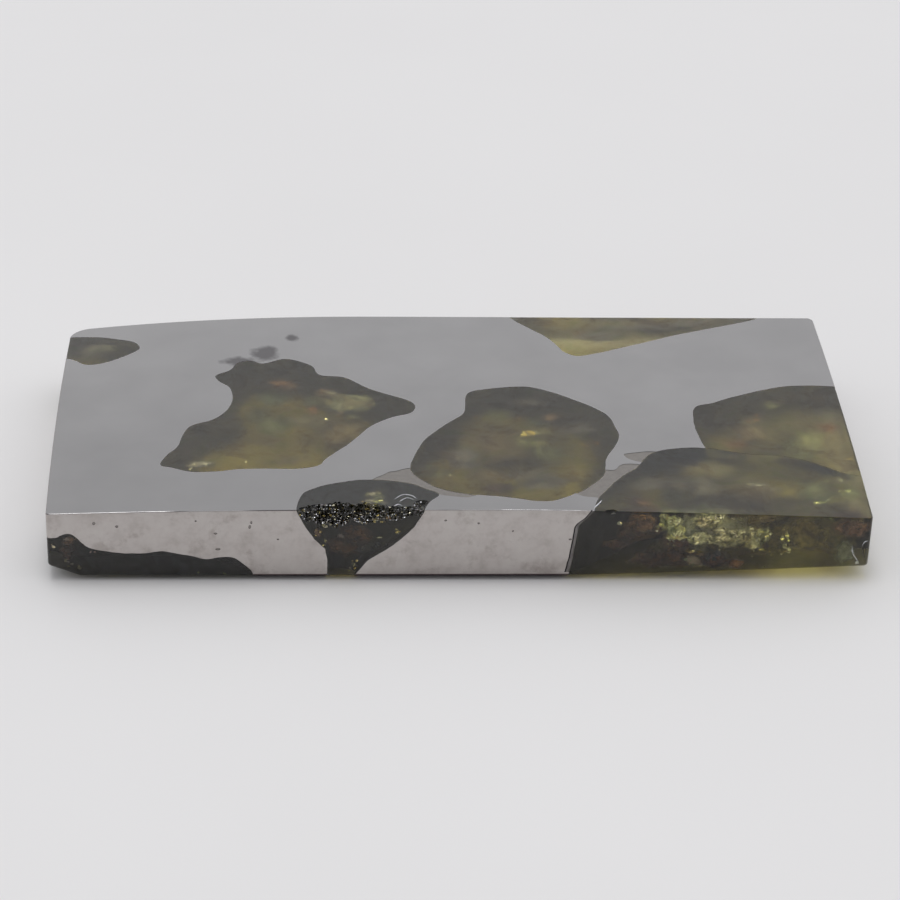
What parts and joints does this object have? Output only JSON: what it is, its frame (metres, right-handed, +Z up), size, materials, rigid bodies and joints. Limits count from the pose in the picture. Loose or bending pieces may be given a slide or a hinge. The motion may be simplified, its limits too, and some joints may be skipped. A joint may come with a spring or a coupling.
{
  "type": "pallasite meteorite slice",
  "caption": "Flat rectangular slice of pallasite: olivine crystals set through polished iron-nickel, resting on its lapped underside as a display or study piece.",
  "frame": {"origin": "under the middle of the slice, in the plane that it rests on", "axes": "+X along the slice's length, -Y out of its long cut face, +Z up through its polished top face"},
  "size_m": [0.0362, 0.018, 0.0036],
  "materials": {
    "iron_nickel": "lapped and polished, fine lapping lines on the cut edges",
    "olivine": "polished, see-through olive green crystal with internal fractures"
  },
  "bodies": {
    "root": {"metal_matrix": "iron_nickel", "olivine_back_left": "olivine", "olivine_left": "olivine", "olivine_centre": "olivine", "olivine_front_centre": "olivine", "olivine_front_right": "olivine", "olivine_right": "olivine", "olivine_back": "olivine", "olivine_front_left": "olivine"}
  },
  "joints": []
}
